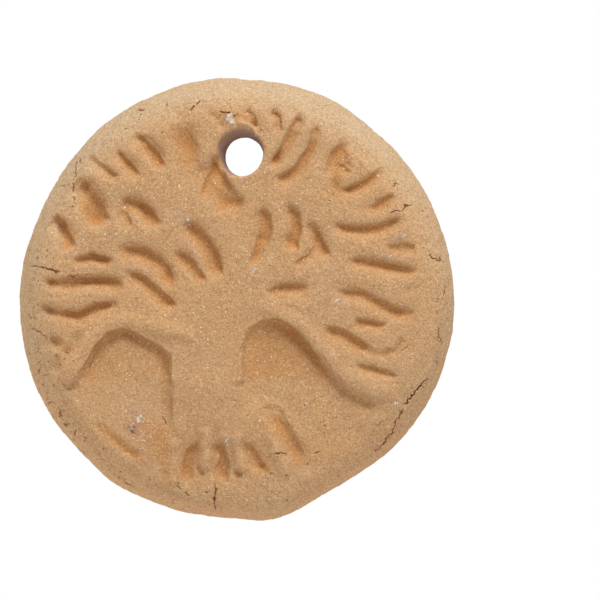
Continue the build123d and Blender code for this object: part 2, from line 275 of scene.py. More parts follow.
# ---- broad shapes of the hand-pressed relief: (line, half width, rise) ----
SWELLS = [
    ([(-4.6, -3.3), (-7.6, -2.7), (-10.6, -2.1), (-13.2, -3.7), (-15.2, -7)], 1.2, 0.26),
    ([(3, -1.2), (5.4, -2.2), (6.7, -3.4), (8.5, -5.5)], 1.05, 0.22),
    ([(9.3, -6.3), (10.2, -7.2), (12.3, -8.3), (14, -8.5)], 1.05, 0.1),
    ([(-2.6, -8.2), (-2.5, -10.4)], 2.6, 0.22),
    ([(11.8, -10.7), (13.6, -10.1)], 2, 0.24),
    ([(-5.2, -4.6), (-5.3, -9), (-5.2, -12.2)], 0.9, 0.08),
    ([(-2.9, -12.4), (-3, -15.3)], 0.75, 0.32),
    ([(-0.1, -12.7), (0.3, -15.4)], 0.75, 0.32),
    ([(3, -12.4), (4.2, -15.6)], 0.9, 0.28),
    ([(-5.8, -13.4), (-6, -16.6)], 0.8, 0.22),
    ([(0.2, 15.9), (1, 15.75), (1.5, 15.35), (1.75, 14.9)], 0.3, 0.24),
    # hollows
    ([(2.9, -10.5), (4.2, -12), (5.4, -13.8), (6.2, -15.4)], 1.1, -0.17),
    ([(-4.9, 16.2), (-4.8, 13.6), (-4.6, 11)], 1.7, -0.2),
    ([(-14.1, 10), (-13.3, 7.4)], 1.2, -0.3),
    ([(-17.6, -4.2), (-15.8, -4.6)], 0.8, -0.2),
    ([(-12.6, -11.7), (-11.6, -12.6), (-10.6, -13.4), (-9.4, -14.2)], 0.7, -0.2),
    ([(-11.2, -15.9), (-10.3, -16.5), (-9, -17.4)], 0.5, -0.3),
    ([(-15.7, -9.6), (-13.9, -12.3), (-12.3, -14.2), (-10.4, -16)], 0.6, -0.28),
    ([(0, -15.8), (0.2, -16.1)], 0.45, -0.24),
    ([(-3.5, -15.6), (-3.3, -15.9)], 0.45, -0.2),
    ([(2.3, -15.3), (2.6, -15.6)], 0.5, -0.26),
    ([(12, -4.9), (13.2, -5.1), (14.3, -4.75), (14.95, -3.8)], 0.4, -0.16),
    ([(-16.7, -6.3), (-15.7, -5), (-14.5, -3.6)], 0.7, -0.2),
    ([(2.7, -10), (3.7, -10.1), (4.4, -10.9)], 0.45, -0.1),
]
# Scoops, steep along the line and running out on its right-hand side: (line, reach, depth).
SCOOPS = [
    ([(-2.1, 12.9), (-1.6, 11.7), (-0.4, 10.3), (0.6, 9.2), (0.9, 8.4)], 3.2, 0.36),
    ([(-16.3, -4.9), (-16.2, -6), (-15.95, -7.2), (-15.3, -7.8), (-14.6, -7.4)], 0.9, 0.22),
    ([(-3.6, 9.2), (-3, 10.8), (-2.1, 12.9)], 1, 0.3),
    ([(-6.1, 16), (-4.6, 15.4), (-3.4, 14), (-3.3, 11.6)], 2.2, 0.2),
    ([(-9.2, 15.2), (-7.4, 13.7), (-6.2, 11.9)], 1.4, 0.42),
    ([(-11, 13.7), (-9.7, 12.6), (-8.6, 11.2)], 1.3, 0.4),
    ([(-13.3, 13.2), (-11.9, 12), (-10.6, 11.1)], 1.1, 0.3),
    ([(-14.1, 11.2), (-12.7, 9.6), (-11.3, 6.9)], 2.4, 0.55),
    ([(-10.8, 9.4), (-8.6, 8.8), (-6.5, 6.9)], 1.7, 0.5),
    ([(-10.7, 8.2), (-10, 7.8), (-9.4, 6.5)], 1.3, 0.25),
    ([(-16.7, 7.9), (-15.4, 6.8), (-14.5, 4.6)], 1.7, 0.62),
    ([(-15.1, 3.5), (-13.3, 4.3), (-11.1, 3.5)], 1, 0.36),
    ([(-11, 5), (-8.6, 4.7), (-6.8, 3.7), (-5.9, 2.2), (-5.6, 0.9)], 1.8, 0.38),
    ([(-10.2, 2.7), (-8.2, 2), (-6.9, 0.7), (-5.2, -0.7)], 1.5, 0.36),
    ([(-4.9, 7.4), (-3.1, 6.2), (-1.8, 4.2), (-1.2, 1.9)], 1.8, 0.36),
    ([(-5.6, 4.6), (-4, 3.5), (-2.6, 1.6)], 1.3, 0.3),
    ([(3.2, 17.3), (4, 16.6), (4.1, 15)], 1, 0.25),
    ([(2.7, 12), (3.8, 14), (4.7, 15.5), (5.5, 17.1)], 1.2, 0.26),
    ([(3.1, 10.8), (5.1, 12.1), (6.2, 13.7), (6.8, 16)], 1.1, 0.28),
    ([(7.6, 11.2), (8.4, 13.2), (9.7, 14.7)], 1.2, 0.2),
    ([(4.4, 8.8), (5.7, 7.9), (6, 6), (5.3, 4)], 1.7, 0.38),
    ([(2.1, 8.5), (3.1, 7.6), (3.2, 6), (2.8, 4.6)], 1.7, 0.32),
    ([(7, 7.2), (7.8, 5.5), (8.7, 3.9)], 1.5, 0.35),
    ([(9.2, 14), (9.9, 13.4), (10.4, 11.9)], 1.2, 0.2),
    ([(9.4, 10), (11.2, 10.7), (13.2, 12)], 1.2, 0.25),
    ([(11.8, 8.2), (13, 9.1), (14.4, 9.8)], 1.1, 0.22),
    ([(8.6, 7.1), (10.6, 6.7), (12.8, 6.8), (15.2, 7.7)], 1.3, 0.25),
    ([(13.4, 5), (15, 5.1), (16.4, 4.8)], 1.3, 0.2),
    ([(9, 0.9), (11.4, 0.8), (13, 0), (14.6, -0.9), (16.2, -1.1)], 1.3, 0.26),
    ([(10.5, -1.8), (12.1, -1.9), (13.6, -2.3)], 1, 0.25),
    ([(7.9, -2.4), (9.7, -2.8), (11.2, -3.7), (12.4, -4.6)], 1.3, 0.3),
    ([(10.6, -5.8), (12.4, -6.1), (14.8, -7)], 1, 0.22),
    ([(9.9, 3.8), (12.6, 3.5), (14.9, 3), (16.4, 2.6)], 1.2, 0.25),
    ([(2.4, 0.8), (4.3, 1.45), (6.7, 1.1)], 1.5, 0.28),
    ([(8.9, 12.3), (9.7, 12.1), (10.5, 11.5)], 0.9, 0.2),
    ([(1.05, 3), (1.5, 4.6), (1.75, 5.9)], 0.9, 0.2),
    ([(5, 3.3), (6.2, 3.9), (7, 5)], 0.9, 0.15),
    ([(-2.7, -14.2), (-2.2, -13.3), (-1.4, -13.1), (-0.75, -14.4), (-0.65, -16.9)], 1.6, 0.32),
    ([(-5.2, -16.9), (-5.1, -15), (-4.6, -13.6), (-3.5, -12.8)], 1.5, 0.28),
    ([(2.8, -9.9), (4, -10.2), (4.9, -11.8), (6.3, -14.6)], 1.8, 0.17),
    ([(0.5, -12.6), (1.6, -13.8), (2.7, -15.4)], 1.5, 0.26),
    ([(-18, 2), (-16.1, 1.95), (-14.1, 2.15), (-10.3, 1.9)], 1.45, 0.35),
    ([(-18, -0.4), (-15.9, -1), (-14.5, -1.2), (-12.9, -0.3), (-10.8, 0)], 1.3, 0.3),
    ([(-14.6, -7.6), (-13.8, -5.8), (-13, -4.2), (-11.8, -2.95), (-10.6, -2.55), (-9.4, -2.9),
      (-7.9, -3.7), (-6.8, -4.5), (-6.1, -5.5), (-5.9, -7.2), (-5.9, -9), (-6, -12.8)],
     1.3, 0.26),
    ([(3.5, -1.6), (5.4, -2.7), (7.4, -4.9), (8.9, -6.6), (10.2, -8.1), (11.9, -9),
      (13.9, -9.2)], 1.3, 0.3),
    ([(18.3, -5.4), (17.2, -8.2), (14.9, -11.4), (12, -14.9)], 0.9, -0.14),
]
SCOOP_REACH = 1.15  # makes every scoop wider or narrower
SCOOP_TAPER = 7  # how short the run-out at a scoop's ends is
PIT_FOOT = -7.6  # the pits lie above this height
PIT_KEEP = 0.15  # how much of the pits' own depth is kept
PIT_SPREAD = 0.55  # how much of the pits' blurred depth is added round them
WEAR_FADE = 1.4  # how steeply the wear along an edge fades out

# Rounds of smoothing on the fine mesh.
FIRST_WEAR = 8
FACE_WEAR = 34
LAST_WEAR = 6
GROUND_BLUR = 8
PIT_BLUR = 120
BROAD_BLUR = 70
HOLLOW_BLUR = 6

# Unevenness of the relief's lines and heights: (size of the bumps, how much).
LINE_WOBBLE = (0.9, 0.13)
HEIGHT_WOBBLE = (1.4, 0.3)
# Unevenness of the clay: (size of the bumps, height, extra height at the rim, seed).
UNEVEN = [(5.5, 0.12, 0, 1), (2.1, 0.05, 0, 2), (0.8, 0.025, 0.018, 3), (0.3, 0.016, 0.02, 4)]
CREASE_SIZE = (4.5, 0.55)  # round the rim and across it
CREASE_HEIGHT = 0.055

# ---- cracks in the face: (line, width, depth) ----
CRACKS = [
    ([(-2.05, -16.9), (-1.95, -17.4), (-2.1, -17.8), (-2.15, -18.4), (-2.05, -19),
      (-1.7, -19.5), (-0.9, -20)], 0.26, 0.25),
    ([(-4.75, -17.7), (-4.3, -18.1)], 0.2, 0.18),
    ([(-5.4, -17.1), (-5.2, -17.3)], 0.2, 0.18),
    ([(17.3, -7.35), (16.6, -8), (16, -8.8), (15.3, -9.5), (15, -9.65)], 0.26, 0.3),
    ([(15, -10.1), (14.4, -11.2), (14.1, -12.2), (13.7, -12.55)], 0.2, 0.2),
    ([(13.7, -12.55), (13.2, -13.3), (12.5, -13.9)], 0.24, 0.25),
    ([(12.3, -14.3), (12, -14.9)], 0.16, 0.12),
    ([(18.2, -5.6), (18.2, -6.3), (18.25, -7), (18.3, -7.6)], 0.22, 0.22),
    ([(18.3, -2.6), (18.3, -3.2), (18.5, -3.6), (18.6, -4.2)], 0.2, 0.18),
    ([(18.9, 1.4), (18.9, 0.4), (18.6, -0.3)], 0.16, 0.15),
    ([(14, 7.8), (15, 8.05), (15.3, 8.4), (15.8, 8.5)], 0.22, 0.22),
    ([(14.1, 10.2), (14.4, 10.5), (14.75, 10.35)], 0.24, 0.2),
    ([(14.4, 10.5), (14.5, 10.7)], 0.2, 0.16),
    ([(16.7, 7.9), (17, 7.9)], 0.18, 0.15),
    ([(17.5, 3.9), (17.8, 3.6), (18.3, 3.5), (18.6, 3.8)], 0.2, 0.2),
    ([(-18.8, 3), (-18.1, 2.95), (-17.6, 2.75), (-17.2, 2.6), (-16.1, 2.35)], 0.22, 0.22),
    ([(-15.4, 2), (-14.6, 2.1)], 0.24, 0.2),
    ([(-13.9, 2.3), (-13.3, 2.15)], 0.2, 0.15),
    ([(-18.8, -2.6), (-18.3, -2.85), (-17.4, -3.4)], 0.2, 0.18),
    ([(-17.9, -7), (-17.2, -6.9)], 0.16, 0.12),
    ([(-4.3, 17.2), (-4, 17.4)], 0.22, 0.2),
    ([(-14.3, 13.6), (-14.6, 13), (-14.4, 12.4)], 0.3, 0.2),
    ([(-14.8, 12.6), (-14.75, 11.9), (-14.85, 11.1)], 0.26, 0.2),
    ([(-14.9, 10.6), (-14.95, 9.8)], 0.2, 0.16),
    ([(-15, 9.3), (-14.95, 8.7)], 0.18, 0.14),
    ([(-3.7, 17.7), (-3.5, 17.9)], 0.22, 0.2),
    ([(-6.6, 17.9), (-6.4, 17.6)], 0.2, 0.16),
    ([(-1.6, 17), (-0.8, 16.95), (-0.4, 16.65), (0.1, 16.6)], 0.2, 0.2),
    ([(3.5, -14.2), (3.9, -14), (4.5, -14.2)], 0.22, 0.2),
    ([(3.1, -16.1), (3.4, -16)], 0.2, 0.18),
    ([(4.4, -18.4), (4.7, -18.4)], 0.24, 0.18),
    ([(7, -14.05), (7.5, -14)], 0.18, 0.15),
    ([(12.2, -11.6), (12.6, -11.5), (13.3, -11.2)], 0.14, 0.1),
    ([(-6.95, -10.75), (-6.75, -10.9), (-6.4, -11.3)], 0.2, 0.2),
    ([(0.3, -4.8), (0.6, -3.9), (0.9, -3), (1.5, -2.3)], 0.22, 0.1),
    ([(14.9, -4.8), (15.4, -4.3)], 0.18, 0.1),
    ([(-12.9, -5.2), (-13.5, -6.2)], 0.2, 0.12),
]
# Cracks and laps in the left edge of the disc: (line as (forward, up), width, depth).
EDGE_CRACKS = [
    ([(0.3, 17.5), (1.2, 16.9), (1.8, 16.3), (2.3, 16), (2.9, 15.4)], 0.3, 0.25),
    ([(1.5, 18.4), (2.9, 17.6)], 0.2, 0.15),
    ([(-0.2, 10.3), (1, 10.2)], 0.2, 0.2),
    ([(1.3, 8.5), (2, 8.9), (3, 8.6)], 0.24, 0.2),
    ([(2.4, 7.6), (3.2, 7), (3.5, 6.2)], 0.2, 0.2),
    ([(0.2, -1.3), (1, -1.9), (1.4, -1.7)], 0.2, 0.2),
    ([(-0.5, -7.9), (0, -7.2)], 0.2, 0.2),
    ([(0.2, -7), (1.5, -6.1)], 0.24, 0.22),
    ([(0.1, -8.1), (0.7, -7.9)], 0.2, 0.2),
    ([(0.4, -8.7), (0.9, -8.4)], 0.18, 0.2),
    ([(0.4, -8.65), (0.5, -8.8), (0.1, -9.35)], 0.2, 0.2),
    ([(-1.15, -8.55), (-0.7, -8.4)], 0.2, 0.18),
    ([(-0.3, -9.7), (0.8, -9.5)], 0.18, 0.2),
    ([(0.6, -10.5), (1.3, -9.9)], 0.2, 0.2),
    ([(0.3, -10.75), (0.7, -10.7), (0.85, -10.55)], 0.24, 0.22),
    ([(-1.1, -10.9), (-0.8, -10.6)], 0.2, 0.18),
    ([(-0.65, -11), (-0.2, -10.7)], 0.2, 0.18),
    ([(0.2, -11.6), (1, -11.4)], 0.2, 0.2),
    ([(0.5, -12.5), (0.9, -12.2), (1.4, -11.8)], 0.22, 0.22),
    ([(1.1, -12.6), (1.35, -12.4)], 0.24, 0.22),
    ([(-0.5, -13.1), (0.1, -12.8)], 0.2, 0.2),
    ([(-0.9, -14.3), (-0.3, -14)], 0.2, 0.2),
    ([(0.4, -15.65), (0.9, -15.4)], 0.2, 0.18),
    ([(-0.5, -5.1), (-0.2, -4.9)], 0.22, 0.2),
    ([(-0.5, -19.6), (0.1, -19.2), (1, -18.8), (1.6, -18.1), (2.3, -17.1)], 0.3, 0.25),
    ([(-2.6, -18.7), (-2, -18.9)], 0.2, 0.2),
]
# Strips of crumbly clay: (line, half width, how many pores).
CRUMBLY_STRIPS = [
    ([(-14.4, 13.5), (-14.7, 12.3)], 0.4, 20),
    ([(-14.8, 11.5), (-14.9, 9.6), (-15, 8.2)], 0.1, 16),
    ([(-17.4, -9.4), (-15.8, -11.6), (-13.6, -14), (-12, -15.4), (-8.2, -17.9)], 0.6, 70),
    ([(-18.9, -1.9), (-18.2, -4.8), (-18.4, -6.5)], 0.35, 22),
    ([(-17.8, -5.2), (-15.4, -5.6)], 0.5, 18),
    ([(-18.8, 4.4), (-17.4, 4.2)], 0.35, 10),
    ([(-18.1, -0.6), (-17.3, -0.6)], 0.15, 8),
    ([(-14.4, -2.8), (-13.7, -2.4)], 0.3, 6),
    ([(-11.6, 15.9), (-11.2, 15.4)], 0.3, 5),
    ([(16.5, 1.6), (17.4, 4.8), (17.3, 6.2)], 0.3, 14),
    ([(18.6, 3), (18.4, -3.8)], 0.3, 24),
    ([(18.35, -2.2), (18.2, -7.4)], 0.12, 26),
    ([(18.3, -6.5), (16.5, -10.8), (14.9, -12.5)], 0.4, 18),
    ([(17.3, -7.4), (16, -8.8), (15, -9.7), (14.1, -12.2), (12.5, -13.9)], 0.2, 22),
    ([(7.4, -12.2), (10, -12)], 0.7, 8),
    ([(5, -14.6), (8.2, -14.8)], 0.7, 8),
    ([(-16, 6.8), (-9, 16.5), (0, 18.4), (9, 16.8), (15, 10.4)], 1.2, 30),
    ([(8.5, 9.6), (9.3, 5.9)], 0.9, 8),
    ([(-12, -14.6), (-3, -18.8), (8, -17.4)], 1.1, 24),
]
# Orange stains: (line, half width).
STAINS = [
    ([(3.4, -11), (4.6, -12.8), (5.8, -14.6)], 1),
    ([(-8.8, -11.6), (-7.2, -12.6), (-7, -13.6)], 1.8),
    ([(-12.3, -12), (-9, -14.6)], 0.8),
    ([(-4.4, -13.8), (-4.6, -16.4)], 0.9),
    ([(-1.6, -13.8), (-1.5, -16.4)], 0.9),
    ([(1.2, -13.6), (2.4, -15.4)], 0.9),
    ([(-6.4, -16.1), (-6.2, -16.6)], 0.7),
    ([(9.6, 13), (8.8, 9.8)], 1),
    ([(-1.8, 16.9), (0.6, 16.5)], 0.6),
]
# Greyish smears round some of the mineral grains: (line, half width).
SMEARS = [
    ([(-9.3, -10.3), (-8.3, -12.4)], 1.6),
    ([(-5.3, 7.8), (-4.5, 7.2)], 0.9),
    ([(1.4, 2.4), (1.6, 2.6)], 0.7),
    ([(9, -0.5), (9.1, -0.1)], 0.7),
    ([(-1.2, -13.1), (-0.9, -12.9)], 0.7),
    ([(13.4, 3.7), (14.2, 3.9)], 0.7),
    ([(14.3, 5.5), (15.6, 5.8)], 0.7),
    ([(-0.9, 16.6), (-0.5, 16)], 0.7),
    ([(2.4, -5.6), (2.7, -6)], 0.9),
]
CRACK_WIDTH = 0.95  # makes every crack narrower or wider
CRACK_WOBBLE = (0.25, 0.14)  # of a crack's line: (size of the bumps, how much)
CRACK_RAGGED = (0.5, 0.45)  # and of its width
CRACK_FINE_REACH = 0.34  # the mesh is finer this close to a crack
LOOSE_PORES = 420  # scattered over the whole face
LOOSE_PORE_RADII = (0.03, 0.085)
LOOSE_PORE_REACH = 19.5
EDGE_PORES = 520  # and over the edge of the disc
EDGE_PORE_SPAN = (-2.2, 2.8)  # from the back to the front
PORE_RADII = (0.04, 0.12)
PORE_WOBBLE = (0.16, 0.05)
LARGE_PORE = 0.09  # pores with a larger radius get a finer mesh
LARGE_PORE_MARGIN = 0.12


# ---- relief, cracks and pores ----
def face_places(points):
    return points[:, (0, 2)] - DISC_CENTRE[[0, 2]]


def behind_face(points):
    """How far each point is behind the face, up to the depth of the relief."""
    return np.clip(points[:, 1] - FACE_LEVEL, 0, RELIEF_DEPTH)


def smooth_part(values, edges, weight, rounds):
    """Smooths only where the weight is above 0, and less where it is under 1."""
    chosen = weight > 0
    local = np.cumsum(chosen) - 1
    inside = edges[chosen[edges].all(axis=1)]
    values = values.copy()
    values[chosen] = smooth(values[chosen], local[inside], rounds, 0.5 * weight[chosen])
    return values


def lift_grounds(points, edges, on_face):
    """Makes the sunken grounds shallower."""
    places = face_places(points)
    for outline, keep in zip(GROUNDS, GROUND_KEEP):
        inside = (inside_outline(places, outline) * on_face)[:, None].astype(float)
        inside = smooth_part(inside, edges, on_face, fitted(GROUND_BLUR))[:, 0]
        points[:, 1] -= inside * (1 - keep) * behind_face(points)
    return points


def soften(points, edges, on_face):
    """Wears the listed edges round."""
    places = face_places(points)
    for line, reach, rounds in SOFT_EDGES:
        gap, _, _ = line_distance(places, line)
        weight = np.clip(WEAR_FADE * (1 - gap / reach), 0, 1) * on_face
        points = smooth_part(points, edges, weight, fitted(rounds))
    return points


def inside_outline(places, outline):
    """Which places lie inside the closed outline."""
    inside = np.zeros(len(places), bool)
    for first, second in zip(outline, outline[1:] + outline[:1]):
        if first[1] == second[1]:
            continue
        spans = (places[:, 1] > first[1]) != (places[:, 1] > second[1])
        slope = (second[0] - first[0]) / (second[1] - first[1])
        crosses = places[:, 0] < first[0] + slope * (places[:, 1] - first[1])
        inside ^= spans & crosses
    return inside


def tilt_hole(points):
    """Leans the hole's wall, so that its left side shows from the front."""
    from_hole = np.hypot(*(face_places(points) - HOLE_PLACE).T)
    share = 1 - ramp(from_hole, *HOLE_COLLAR)
    points[:, 0] += share * points[:, 1] * HOLE_LEAN / THICKNESS
    return points


def spread_pits(points, edges, on_face):
    """Lets the clay sink a little round each pit, as it does under a pressed tool."""
    places = face_places(points)
    stamped = on_face & (places[:, 1] > PIT_FOOT)
    for outline in GROUNDS:
        stamped &= ~inside_outline(places, outline)
    stamped = stamped * ramp(np.hypot(*places.T), *PIT_ZONE)
    stamped *= ramp(np.hypot(*(places - HOLE_PLACE).T), *HOLE_CLEAR)
    sunk = behind_face(points) * stamped
    both = np.column_stack([sunk, stamped])
    blurred, share = smooth_part(both, edges, on_face, fitted(PIT_BLUR)).T
    points[:, 1] += PIT_SPREAD * blurred * ramp(share, 0.5, 1) - (1 - PIT_KEEP) * sunk
    return points


def wobbled(places, bumps, seed):
    """The places moved about by noise; bumps holds their size and the amount."""
    size, amount = bumps
    wobble = [lattice_noise(places, size, seed + turn) for turn in (0, 1)]
    return places + amount * np.column_stack(wobble)


def scoop_section(share):
    """A scoop's depth across its reach: steep at first, then running out, 1 at the deepest."""
    return 5 * share**0.75 * (1 - share) ** 2


def press_relief(points, on_face):
    """Adds the ridges and hollows, and the scoops that the stamp pressed."""
    places = face_places(points)
    wobbly = wobbled(places, LINE_WOBBLE, 61)
    size, amount = HEIGHT_WOBBLE
    uneven = 1 + amount * lattice_noise(places, size, 63)
    rise = np.zeros(len(points))
    for line, half_width, height in SWELLS:
        gap, _, _ = line_distance(wobbly, line)
        share = np.clip(gap / half_width, 0, 1)
        rise += height * (1 - share**2) ** 2 * uneven
    for line, reach, depth in SCOOPS:
        gap, along, side = line_distance(wobbly, line)
        share = np.clip(gap / (SCOOP_REACH * reach), 0, 1) * (side < 0)
        taper = np.clip(SCOOP_TAPER * np.minimum(along, 1 - along), 0, 1)
        rise -= depth * scoop_section(share) * taper * uneven
    points[:, 1] -= rise * on_face
    return points


def sink(amount, places, line, width, depth, seed):
    """Adds a ragged crack to the amounts that the points sink."""
    half = CRACK_WIDTH * width / 2
    near = near_line(places, line, 3 * half)
    gap, along, _ = line_distance(wobbled(places[near], CRACK_WOBBLE, seed), line)
    taper = np.minimum(1, 5 * np.minimum(along, 1 - along) + 0.35)
    size, raggedness = CRACK_RAGGED
    ragged = 0.7 + raggedness * lattice_noise(places[near], size, seed + 2)
    share = np.clip(1 - gap / (half * ragged), 0, 1) * taper
    amount[near] = np.maximum(amount[near], depth * share**0.8)


def scattered_pores(rng, line, half_width, count):
    """Small round pores along a line: rows of across, up, radius and depth."""
    corners = np.array(line, float)
    lengths = np.hypot(*np.diff(corners, axis=0).T)
    at = rng.uniform(0, lengths.sum(), count)
    ends = np.concatenate([[0], np.cumsum(lengths)])
    middle = np.stack([np.interp(at, ends, corners[:, axis]) for axis in (0, 1)], axis=1)
    middle += rng.normal(0, half_width, (count, 2))
    radius = rng.uniform(*PORE_RADII, count)
    return np.column_stack([middle, radius, 1.1 * radius])


def sink_pores(amount, places, pores):
    """Adds ragged pores to the amounts that the points sink."""
    places = wobbled(places, PORE_WOBBLE, 51)
    order = np.argsort(places[:, 0])
    sorted_across = places[order, 0]
    for across, up, radius, depth in pores:
        first, last = np.searchsorted(sorted_across, (across - radius, across + radius))
        near = order[first:last]
        gap = np.hypot(places[near, 0] - across, places[near, 1] - up) / radius
        near, gap = near[gap < 1], gap[gap < 1]
        amount[near] = np.maximum(amount[near], depth * (1 - gap**2))


def all_face_pores():
    rng = np.random.default_rng(11)
    pores = [scattered_pores(rng, *strip) for strip in CRUMBLY_STRIPS]
    angle = rng.uniform(0, 2 * math.pi, LOOSE_PORES)
    reach = LOOSE_PORE_REACH * np.sqrt(rng.uniform(0, 1, LOOSE_PORES))
    radius = rng.uniform(*LOOSE_PORE_RADII, LOOSE_PORES)
    loose = [reach * np.cos(angle), reach * np.sin(angle), radius, 0.8 * radius]
    return np.concatenate([*pores, np.column_stack(loose)])


def all_edge_pores():
    """Pores round the edge, as rows of distance round it, forward, radius and depth."""
    rng = np.random.default_rng(12)
    round_edge = rng.uniform(-math.pi, math.pi, EDGE_PORES) * EDGE_RADIUS
    forward = rng.uniform(*EDGE_PORE_SPAN, EDGE_PORES)
    radius = rng.uniform(*PORE_RADII, EDGE_PORES)
    return np.column_stack([round_edge, forward, radius, radius])


# ---- sculpting the clay ----
def joined_clay():
    """All the CAD solids as one mesh in millimetres; the grains fill their own sockets."""
    verts = []
    faces = []
    start = 0
    for node in ["clay_disc", *TREE_NODES, "pale_grains", "dark_grains"]:
        mesh = frame["nodes"][node].data
        verts.append(points_of(mesh) / MM)
        for polygon in mesh.polygons:
            faces.append([start + index for index in polygon.vertices])
        start += len(mesh.vertices)
    mesh = bpy.data.meshes.new("clay")
    mesh.from_pydata(np.concatenate(verts).tolist(), [], faces)
    return new_object("sculpt", mesh)


def refine(mesh, chosen):
    """Splits the faces at each edge that has both of its ends chosen."""
    shape = bmesh.new()
    shape.from_mesh(mesh)
    shape.verts.ensure_lookup_table()
    picked = [edge for edge in shape.edges if all(chosen[vert.index] for vert in edge.verts)]
    bmesh.ops.subdivide_edges(shape, edges=picked, cuts=1, use_grid_fill=True)
    bmesh.ops.triangulate(shape, faces=[face for face in shape.faces if len(face.verts) > 4])
    shape.to_mesh(mesh)
    shape.free()


def add_voxels(sculpt):
    """Fuses the solids into one even mesh."""
    voxels = sculpt.modifiers.new("voxels", "REMESH")
    voxels.mode = "VOXEL"
    voxels.voxel_size = VOXEL
    apply_modifiers(sculpt)


def shape_relief(mesh):
    """Turns the crisp CAD relief into worn, hand-pressed clay."""
    edges = edges_of(mesh)
    points = points_of(mesh)
    on_face = points[:, 1] < FRONT_LEVEL
    points = smooth(points, edges, fitted(FIRST_WEAR))
    points = tilt_hole(points)
    from_hole = np.hypot(*(face_places(points) - HOLE_PLACE).T)
    wear = on_face * ramp(from_hole, *HOLE_COLLAR)
    points = smooth_part(points, edges, wear, fitted(FACE_WEAR))
    points = lift_grounds(points, edges, on_face)
    points = soften(points, edges, on_face)
    points = spread_pits(points, edges, on_face)
    points = smooth_part(points, edges, wear, fitted(LAST_WEAR))
    points = press_relief(points, on_face)
    points = smooth_part(points, edges, wear, 1)
    set_points(mesh, points)


def roughen(mesh):
    """Makes the clay uneven: broad hollows, small dents, a coarse grain and rim creases."""
    points = points_of(mesh)
    places = face_places(points)
    from_middle = np.hypot(*places.T)
    rim = ramp(from_middle, *RIM_ZONE)
    rise = np.zeros(len(points))
    for size, height, extra, seed in UNEVEN:
        rise += (height + extra * rim) * lattice_noise(points, size, seed)
    round_rim = np.arctan2(*places.T) * RIM_ZONE[1]
    over_rim = from_middle - points[:, 1]
    creases = lattice_noise(np.column_stack([round_rim, over_rim]) / CREASE_SIZE, 1.0, 5)
    rise += CREASE_HEIGHT * rim * creases
    set_points(mesh, points + rise[:, None] * normals_of(mesh))


def refine_near_cracks(mesh, pores):
    """Gives the face a finer mesh where cracks and the larger pores will go."""
    points = points_of(mesh)
    places = face_places(points)
    wanted = np.zeros(len(points))
    for line, _, _ in CRACKS:
        near = near_line(places, line, CRACK_FINE_REACH)
        gap, _, _ = line_distance(places[near], line)
        wanted[near[gap < CRACK_FINE_REACH]] = 1
    large = pores[pores[:, 2] > LARGE_PORE]
    large[:, 2] += LARGE_PORE_MARGIN
    large[:, 3] = 1
    sink_pores(wanted, places, large)
    refine(mesh, (wanted > 0) & (points[:, 1] < FRONT_LEVEL))


def cut_cracks(mesh, pores):
    """Sinks cracks and pores into the face and the edge, and returns how far each point sank."""
    points = points_of(mesh)
    normals = normals_of(mesh)
    places = face_places(points)
    face_depth = np.zeros(len(points))
    for turn, (line, width, depth) in enumerate(CRACKS):
        sink(face_depth, places, line, width, depth, 100 + 3 * turn)
    sink_pores(face_depth, places, pores)
    face_depth *= points[:, 1] < FRONT_LEVEL

    on_edge = (np.hypot(*places.T) > EDGE_START) & (np.abs(normals[:, 1]) < EDGE_LEAN)
    left_depth = np.zeros(len(points))
    side_places = np.column_stack([-points[:, 1], places[:, 1]])
    for turn, (line, width, depth) in enumerate(EDGE_CRACKS):
        sink(left_depth, side_places, line, width, depth, 300 + 3 * turn)
    left_depth *= on_edge & (normals[:, 0] < LEFTWARD)
    pore_depth = np.zeros(len(points))
    round_edge = np.arctan2(places[:, 1], places[:, 0]) * EDGE_RADIUS
    sink_pores(pore_depth, np.column_stack([round_edge, -points[:, 1]]), all_edge_pores())
    edge_depth = np.maximum(left_depth, pore_depth * on_edge)

    points[:, 1] += face_depth
    points -= edge_depth[:, None] * normals
    set_points(mesh, points)
    return np.maximum(face_depth, edge_depth)


def marked(places, marks):
    """How strongly the listed marks show at each place, from 0 to 1."""
    strength = np.zeros(len(places))
    for line, half_width in marks:
        near = near_line(places, line, half_width)
        gap, _, _ = line_distance(places[near], line)
        strength[near] = np.maximum(strength[near], ramp(gap, half_width, 0))
    return strength


